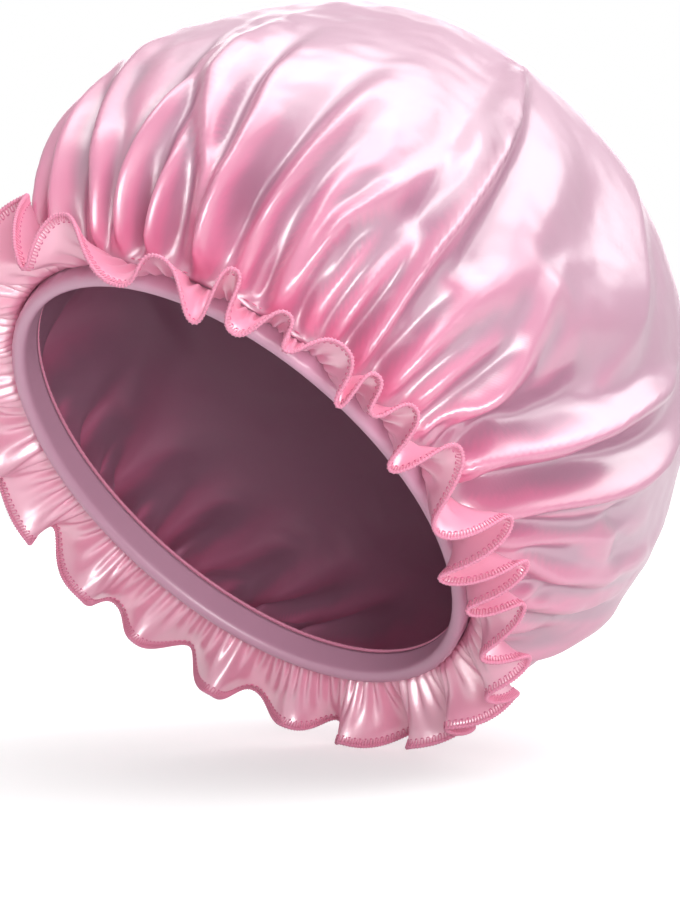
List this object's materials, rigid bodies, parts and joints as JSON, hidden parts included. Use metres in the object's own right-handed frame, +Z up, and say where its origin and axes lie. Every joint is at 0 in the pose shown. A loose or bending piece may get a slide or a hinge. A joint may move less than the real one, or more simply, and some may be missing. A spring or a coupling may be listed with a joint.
{
  "type": "satin hair bonnet",
  "caption": "Puffed satin hair bonnet with a gathered crown, an elastic band in a folded casing and a wavy overlocked frill, shown in its worn pose.",
  "frame": {"origin": "middle of the head opening, on the plane where the crown's seam meets the top of the elastic casing", "axes": "+Z up as worn, -Y toward the forehead, +X toward the wearer's left; the opening's plane leans 45 degrees, forehead side up"},
  "size_m": [0.228, 0.3176, 0.2745],
  "materials": {
    "satin": "glossy polyester satin, light pink",
    "casing_satin": "polyester satin, folded strip",
    "elastic": "white woven elastic, matte",
    "thread": "pink polyester sewing thread"
  },
  "bodies": {
    "root": {"crown": "satin", "frill": "satin", "elastic_casing": "casing_satin", "elastic_band": "elastic", "elastic_join_tack": "thread", "seam_overlock": "thread", "band_seam_stitch": "thread", "frill_overlock": "thread", "frill_needle_stitch": "thread"}
  },
  "joints": []
}
